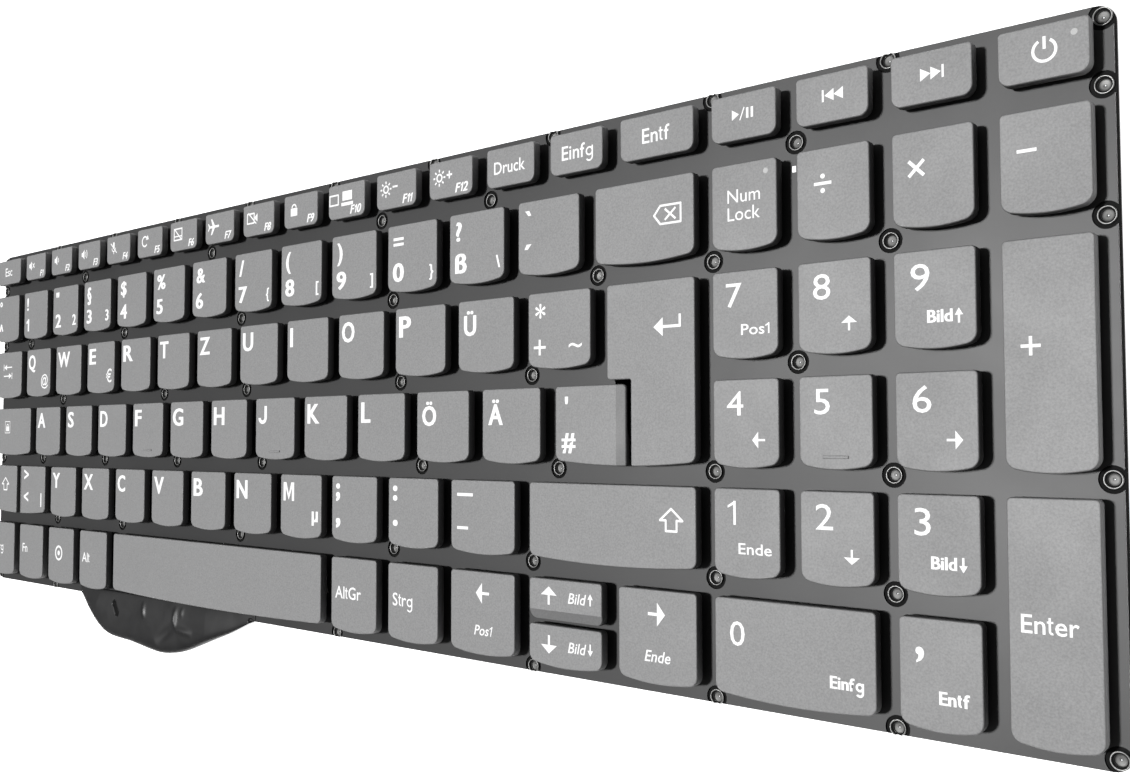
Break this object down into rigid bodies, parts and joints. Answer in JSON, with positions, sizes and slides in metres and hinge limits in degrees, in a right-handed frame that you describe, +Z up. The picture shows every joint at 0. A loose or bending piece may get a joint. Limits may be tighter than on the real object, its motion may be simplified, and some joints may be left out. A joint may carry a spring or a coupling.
{
  "type": "laptop keyboard",
  "caption": "Flat laptop keyboard module: grey low keys with bowed fronts over a dark film membrane on a sheet-metal base with fixing holes, and a short folded film tail at the front edge.",
  "frame": {"origin": "middle of the base plate's underside", "axes": "+X to the right along the key rows, +Y towards the function row, +Z up through the key tops"},
  "size_m": [0.3374, 0.1168, 0.0041],
  "materials": {
    "key_cap": "fine matt grain",
    "base_plate": "satin black",
    "membrane": "satin film",
    "stiffener": "gloss",
    "rubber_dome": "matt",
    "scissor": "matt",
    "wire": "drawn",
    "light_window": "clear"
  },
  "bodies": {
    "base": {"base_plate": "base_plate", "function_keys": "key_cap", "home_letter_keys": "key_cap", "lower_letter_keys": "key_cap", "membrane": "membrane", "number_keys": "key_cap", "rubber_domes": "rubber_dome", "scissor_inner_frames": "scissor", "scissor_outer_frames": "scissor", "stabiliser_wires": "wire", "tail_stiffener": "stiffener", "upper_letter_keys": "key_cap"},
    "cap_alt": {"key_alt": "key_cap"},
    "cap_alt_right": {"key_alt_right": "key_cap"},
    "cap_angle": {"key_angle": "key_cap"},
    "cap_backspace": {"key_backspace": "key_cap"},
    "cap_caps_lock": {"key_caps_lock": "key_cap"},
    "cap_caret": {"key_caret": "key_cap"},
    "cap_control_left": {"key_control_left": "key_cap"},
    "cap_control_right": {"key_control_right": "key_cap"},
    "cap_dash": {"key_dash": "key_cap"},
    "cap_delete": {"key_delete": "key_cap"},
    "cap_down": {"key_down": "key_cap"},
    "cap_enter": {"key_enter": "key_cap"},
    "cap_escape": {"key_escape": "key_cap"},
    "cap_fn": {"key_fn": "key_cap"},
    "cap_hash": {"key_hash": "key_cap"},
    "cap_insert": {"key_insert": "key_cap"},
    "cap_left": {"key_left": "key_cap"},
    "cap_next": {"key_next": "key_cap"},
    "cap_num_lock": {"key_num_lock": "key_cap", "num_lock_light": "light_window"},
    "cap_pad_0": {"key_pad_0": "key_cap"},
    "cap_pad_1": {"key_pad_1": "key_cap"},
    "cap_pad_2": {"key_pad_2": "key_cap"},
    "cap_pad_3": {"key_pad_3": "key_cap"},
    "cap_pad_4": {"key_pad_4": "key_cap"},
    "cap_pad_5": {"key_pad_5": "key_cap"},
    "cap_pad_6": {"key_pad_6": "key_cap"},
    "cap_pad_7": {"key_pad_7": "key_cap"},
    "cap_pad_8": {"key_pad_8": "key_cap"},
    "cap_pad_9": {"key_pad_9": "key_cap"},
    "cap_pad_comma": {"key_pad_comma": "key_cap"},
    "cap_pad_divide": {"key_pad_divide": "key_cap"},
    "cap_pad_enter": {"key_pad_enter": "key_cap"},
    "cap_pad_minus": {"key_pad_minus": "key_cap"},
    "cap_pad_plus": {"key_pad_plus": "key_cap"},
    "cap_pad_times": {"key_pad_times": "key_cap"},
    "cap_play": {"key_play": "key_cap"},
    "cap_power": {"key_power": "key_cap", "power_light": "light_window"},
    "cap_previous": {"key_previous": "key_cap"},
    "cap_print": {"key_print": "key_cap"},
    "cap_right": {"key_right": "key_cap"},
    "cap_shift_left": {"key_shift_left": "key_cap"},
    "cap_shift_right": {"key_shift_right": "key_cap"},
    "cap_space": {"key_space": "key_cap"},
    "cap_system": {"key_system": "key_cap"},
    "cap_tab": {"key_tab": "key_cap"},
    "cap_up": {"key_up": "key_cap"}
  },
  "joints": [
    {"name": "press_alt", "type": "slide", "parent": "base", "child": "cap_alt", "axis": [0, 0, -1], "range_m": [0, 0.0014], "stiffness_N_per_m": 300, "springref_m": -0.001, "deforming": ["rubber_domes", "scissor_outer_frames", "scissor_inner_frames", "stabiliser_wires"]},
    {"name": "press_alt_right", "type": "slide", "parent": "base", "child": "cap_alt_right", "axis": [0, 0, -1], "range_m": [0, 0.0014], "stiffness_N_per_m": 300, "springref_m": -0.001, "deforming": ["rubber_domes", "scissor_outer_frames", "scissor_inner_frames", "stabiliser_wires"]},
    {"name": "press_angle", "type": "slide", "parent": "base", "child": "cap_angle", "axis": [0, 0, -1], "range_m": [0, 0.0014], "stiffness_N_per_m": 300, "springref_m": -0.001, "deforming": ["rubber_domes", "scissor_outer_frames", "scissor_inner_frames", "stabiliser_wires"]},
    {"name": "press_backspace", "type": "slide", "parent": "base", "child": "cap_backspace", "axis": [0, 0, -1], "range_m": [0, 0.0014], "stiffness_N_per_m": 300, "springref_m": -0.001, "deforming": ["rubber_domes", "scissor_outer_frames", "scissor_inner_frames", "stabiliser_wires"]},
    {"name": "press_caps_lock", "type": "slide", "parent": "base", "child": "cap_caps_lock", "axis": [0, 0, -1], "range_m": [0, 0.0014], "stiffness_N_per_m": 300, "springref_m": -0.001, "deforming": ["rubber_domes", "scissor_outer_frames", "scissor_inner_frames", "stabiliser_wires"]},
    {"name": "press_caret", "type": "slide", "parent": "base", "child": "cap_caret", "axis": [0, 0, -1], "range_m": [0, 0.0014], "stiffness_N_per_m": 300, "springref_m": -0.001, "deforming": ["rubber_domes", "scissor_outer_frames", "scissor_inner_frames", "stabiliser_wires"]},
    {"name": "press_control_left", "type": "slide", "parent": "base", "child": "cap_control_left", "axis": [0, 0, -1], "range_m": [0, 0.0014], "stiffness_N_per_m": 300, "springref_m": -0.001, "deforming": ["rubber_domes", "scissor_outer_frames", "scissor_inner_frames", "stabiliser_wires"]},
    {"name": "press_control_right", "type": "slide", "parent": "base", "child": "cap_control_right", "axis": [0, 0, -1], "range_m": [0, 0.0014], "stiffness_N_per_m": 300, "springref_m": -0.001, "deforming": ["rubber_domes", "scissor_outer_frames", "scissor_inner_frames", "stabiliser_wires"]},
    {"name": "press_dash", "type": "slide", "parent": "base", "child": "cap_dash", "axis": [0, 0, -1], "range_m": [0, 0.0014], "stiffness_N_per_m": 300, "springref_m": -0.001, "deforming": ["rubber_domes", "scissor_outer_frames", "scissor_inner_frames", "stabiliser_wires"]},
    {"name": "press_delete", "type": "slide", "parent": "base", "child": "cap_delete", "axis": [0, 0, -1], "range_m": [0, 0.0014], "stiffness_N_per_m": 300, "springref_m": -0.001, "deforming": ["rubber_domes", "scissor_outer_frames", "scissor_inner_frames", "stabiliser_wires"]},
    {"name": "press_down", "type": "slide", "parent": "base", "child": "cap_down", "axis": [0, 0, -1], "range_m": [0, 0.0014], "stiffness_N_per_m": 300, "springref_m": -0.001, "deforming": ["rubber_domes", "scissor_outer_frames", "scissor_inner_frames", "stabiliser_wires"]},
    {"name": "press_enter", "type": "slide", "parent": "base", "child": "cap_enter", "axis": [0, 0, -1], "range_m": [0, 0.0014], "stiffness_N_per_m": 300, "springref_m": -0.001, "deforming": ["rubber_domes", "scissor_outer_frames", "scissor_inner_frames", "stabiliser_wires"]},
    {"name": "press_escape", "type": "slide", "parent": "base", "child": "cap_escape", "axis": [0, 0, -1], "range_m": [0, 0.0014], "stiffness_N_per_m": 300, "springref_m": -0.001, "deforming": ["rubber_domes", "scissor_outer_frames", "scissor_inner_frames", "stabiliser_wires"]},
    {"name": "press_fn", "type": "slide", "parent": "base", "child": "cap_fn", "axis": [0, 0, -1], "range_m": [0, 0.0014], "stiffness_N_per_m": 300, "springref_m": -0.001, "deforming": ["rubber_domes", "scissor_outer_frames", "scissor_inner_frames", "stabiliser_wires"]},
    {"name": "press_hash", "type": "slide", "parent": "base", "child": "cap_hash", "axis": [0, 0, -1], "range_m": [0, 0.0014], "stiffness_N_per_m": 300, "springref_m": -0.001, "deforming": ["rubber_domes", "scissor_outer_frames", "scissor_inner_frames", "stabiliser_wires"]},
    {"name": "press_insert", "type": "slide", "parent": "base", "child": "cap_insert", "axis": [0, 0, -1], "range_m": [0, 0.0014], "stiffness_N_per_m": 300, "springref_m": -0.001, "deforming": ["rubber_domes", "scissor_outer_frames", "scissor_inner_frames", "stabiliser_wires"]},
    {"name": "press_left", "type": "slide", "parent": "base", "child": "cap_left", "axis": [0, 0, -1], "range_m": [0, 0.0014], "stiffness_N_per_m": 300, "springref_m": -0.001, "deforming": ["rubber_domes", "scissor_outer_frames", "scissor_inner_frames", "stabiliser_wires"]},
    {"name": "press_next", "type": "slide", "parent": "base", "child": "cap_next", "axis": [0, 0, -1], "range_m": [0, 0.0014], "stiffness_N_per_m": 300, "springref_m": -0.001, "deforming": ["rubber_domes", "scissor_outer_frames", "scissor_inner_frames", "stabiliser_wires"]},
    {"name": "press_num_lock", "type": "slide", "parent": "base", "child": "cap_num_lock", "axis": [0, 0, -1], "range_m": [0, 0.0014], "stiffness_N_per_m": 300, "springref_m": -0.001, "deforming": ["rubber_domes", "scissor_outer_frames", "scissor_inner_frames", "stabiliser_wires"]},
    {"name": "press_pad_0", "type": "slide", "parent": "base", "child": "cap_pad_0", "axis": [0, 0, -1], "range_m": [0, 0.0014], "stiffness_N_per_m": 300, "springref_m": -0.001, "deforming": ["rubber_domes", "scissor_outer_frames", "scissor_inner_frames", "stabiliser_wires"]},
    {"name": "press_pad_1", "type": "slide", "parent": "base", "child": "cap_pad_1", "axis": [0, 0, -1], "range_m": [0, 0.0014], "stiffness_N_per_m": 300, "springref_m": -0.001, "deforming": ["rubber_domes", "scissor_outer_frames", "scissor_inner_frames", "stabiliser_wires"]},
    {"name": "press_pad_2", "type": "slide", "parent": "base", "child": "cap_pad_2", "axis": [0, 0, -1], "range_m": [0, 0.0014], "stiffness_N_per_m": 300, "springref_m": -0.001, "deforming": ["rubber_domes", "scissor_outer_frames", "scissor_inner_frames", "stabiliser_wires"]},
    {"name": "press_pad_3", "type": "slide", "parent": "base", "child": "cap_pad_3", "axis": [0, 0, -1], "range_m": [0, 0.0014], "stiffness_N_per_m": 300, "springref_m": -0.001, "deforming": ["rubber_domes", "scissor_outer_frames", "scissor_inner_frames", "stabiliser_wires"]},
    {"name": "press_pad_4", "type": "slide", "parent": "base", "child": "cap_pad_4", "axis": [0, 0, -1], "range_m": [0, 0.0014], "stiffness_N_per_m": 300, "springref_m": -0.001, "deforming": ["rubber_domes", "scissor_outer_frames", "scissor_inner_frames", "stabiliser_wires"]},
    {"name": "press_pad_5", "type": "slide", "parent": "base", "child": "cap_pad_5", "axis": [0, 0, -1], "range_m": [0, 0.0014], "stiffness_N_per_m": 300, "springref_m": -0.001, "deforming": ["rubber_domes", "scissor_outer_frames", "scissor_inner_frames", "stabiliser_wires"]},
    {"name": "press_pad_6", "type": "slide", "parent": "base", "child": "cap_pad_6", "axis": [0, 0, -1], "range_m": [0, 0.0014], "stiffness_N_per_m": 300, "springref_m": -0.001, "deforming": ["rubber_domes", "scissor_outer_frames", "scissor_inner_frames", "stabiliser_wires"]},
    {"name": "press_pad_7", "type": "slide", "parent": "base", "child": "cap_pad_7", "axis": [0, 0, -1], "range_m": [0, 0.0014], "stiffness_N_per_m": 300, "springref_m": -0.001, "deforming": ["rubber_domes", "scissor_outer_frames", "scissor_inner_frames", "stabiliser_wires"]},
    {"name": "press_pad_8", "type": "slide", "parent": "base", "child": "cap_pad_8", "axis": [0, 0, -1], "range_m": [0, 0.0014], "stiffness_N_per_m": 300, "springref_m": -0.001, "deforming": ["rubber_domes", "scissor_outer_frames", "scissor_inner_frames", "stabiliser_wires"]},
    {"name": "press_pad_9", "type": "slide", "parent": "base", "child": "cap_pad_9", "axis": [0, 0, -1], "range_m": [0, 0.0014], "stiffness_N_per_m": 300, "springref_m": -0.001, "deforming": ["rubber_domes", "scissor_outer_frames", "scissor_inner_frames", "stabiliser_wires"]},
    {"name": "press_pad_comma", "type": "slide", "parent": "base", "child": "cap_pad_comma", "axis": [0, 0, -1], "range_m": [0, 0.0014], "stiffness_N_per_m": 300, "springref_m": -0.001, "deforming": ["rubber_domes", "scissor_outer_frames", "scissor_inner_frames", "stabiliser_wires"]},
    {"name": "press_pad_divide", "type": "slide", "parent": "base", "child": "cap_pad_divide", "axis": [0, 0, -1], "range_m": [0, 0.0014], "stiffness_N_per_m": 300, "springref_m": -0.001, "deforming": ["rubber_domes", "scissor_outer_frames", "scissor_inner_frames", "stabiliser_wires"]},
    {"name": "press_pad_enter", "type": "slide", "parent": "base", "child": "cap_pad_enter", "axis": [0, 0, -1], "range_m": [0, 0.0014], "stiffness_N_per_m": 300, "springref_m": -0.001, "deforming": ["rubber_domes", "scissor_outer_frames", "scissor_inner_frames", "stabiliser_wires"]},
    {"name": "press_pad_minus", "type": "slide", "parent": "base", "child": "cap_pad_minus", "axis": [0, 0, -1], "range_m": [0, 0.0014], "stiffness_N_per_m": 300, "springref_m": -0.001, "deforming": ["rubber_domes", "scissor_outer_frames", "scissor_inner_frames", "stabiliser_wires"]},
    {"name": "press_pad_plus", "type": "slide", "parent": "base", "child": "cap_pad_plus", "axis": [0, 0, -1], "range_m": [0, 0.0014], "stiffness_N_per_m": 300, "springref_m": -0.001, "deforming": ["rubber_domes", "scissor_outer_frames", "scissor_inner_frames", "stabiliser_wires"]},
    {"name": "press_pad_times", "type": "slide", "parent": "base", "child": "cap_pad_times", "axis": [0, 0, -1], "range_m": [0, 0.0014], "stiffness_N_per_m": 300, "springref_m": -0.001, "deforming": ["rubber_domes", "scissor_outer_frames", "scissor_inner_frames", "stabiliser_wires"]},
    {"name": "press_play", "type": "slide", "parent": "base", "child": "cap_play", "axis": [0, 0, -1], "range_m": [0, 0.0014], "stiffness_N_per_m": 300, "springref_m": -0.001, "deforming": ["rubber_domes", "scissor_outer_frames", "scissor_inner_frames", "stabiliser_wires"]},
    {"name": "press_power", "type": "slide", "parent": "base", "child": "cap_power", "axis": [0, 0, -1], "range_m": [0, 0.0014], "stiffness_N_per_m": 300, "springref_m": -0.001, "deforming": ["rubber_domes", "scissor_outer_frames", "scissor_inner_frames", "stabiliser_wires"]},
    {"name": "press_previous", "type": "slide", "parent": "base", "child": "cap_previous", "axis": [0, 0, -1], "range_m": [0, 0.0014], "stiffness_N_per_m": 300, "springref_m": -0.001, "deforming": ["rubber_domes", "scissor_outer_frames", "scissor_inner_frames", "stabiliser_wires"]},
    {"name": "press_print", "type": "slide", "parent": "base", "child": "cap_print", "axis": [0, 0, -1], "range_m": [0, 0.0014], "stiffness_N_per_m": 300, "springref_m": -0.001, "deforming": ["rubber_domes", "scissor_outer_frames", "scissor_inner_frames", "stabiliser_wires"]},
    {"name": "press_right", "type": "slide", "parent": "base", "child": "cap_right", "axis": [0, 0, -1], "range_m": [0, 0.0014], "stiffness_N_per_m": 300, "springref_m": -0.001, "deforming": ["rubber_domes", "scissor_outer_frames", "scissor_inner_frames", "stabiliser_wires"]},
    {"name": "press_shift_left", "type": "slide", "parent": "base", "child": "cap_shift_left", "axis": [0, 0, -1], "range_m": [0, 0.0014], "stiffness_N_per_m": 300, "springref_m": -0.001, "deforming": ["rubber_domes", "scissor_outer_frames", "scissor_inner_frames", "stabiliser_wires"]},
    {"name": "press_shift_right", "type": "slide", "parent": "base", "child": "cap_shift_right", "axis": [0, 0, -1], "range_m": [0, 0.0014], "stiffness_N_per_m": 300, "springref_m": -0.001, "deforming": ["rubber_domes", "scissor_outer_frames", "scissor_inner_frames", "stabiliser_wires"]},
    {"name": "press_space", "type": "slide", "parent": "base", "child": "cap_space", "axis": [0, 0, -1], "range_m": [0, 0.0014], "stiffness_N_per_m": 300, "springref_m": -0.001, "deforming": ["rubber_domes", "scissor_outer_frames", "scissor_inner_frames", "stabiliser_wires"]},
    {"name": "press_system", "type": "slide", "parent": "base", "child": "cap_system", "axis": [0, 0, -1], "range_m": [0, 0.0014], "stiffness_N_per_m": 300, "springref_m": -0.001, "deforming": ["rubber_domes", "scissor_outer_frames", "scissor_inner_frames", "stabiliser_wires"]},
    {"name": "press_tab", "type": "slide", "parent": "base", "child": "cap_tab", "axis": [0, 0, -1], "range_m": [0, 0.0014], "stiffness_N_per_m": 300, "springref_m": -0.001, "deforming": ["rubber_domes", "scissor_outer_frames", "scissor_inner_frames", "stabiliser_wires"]},
    {"name": "press_up", "type": "slide", "parent": "base", "child": "cap_up", "axis": [0, 0, -1], "range_m": [0, 0.0014], "stiffness_N_per_m": 300, "springref_m": -0.001, "deforming": ["rubber_domes", "scissor_outer_frames", "scissor_inner_frames", "stabiliser_wires"]}
  ]
}
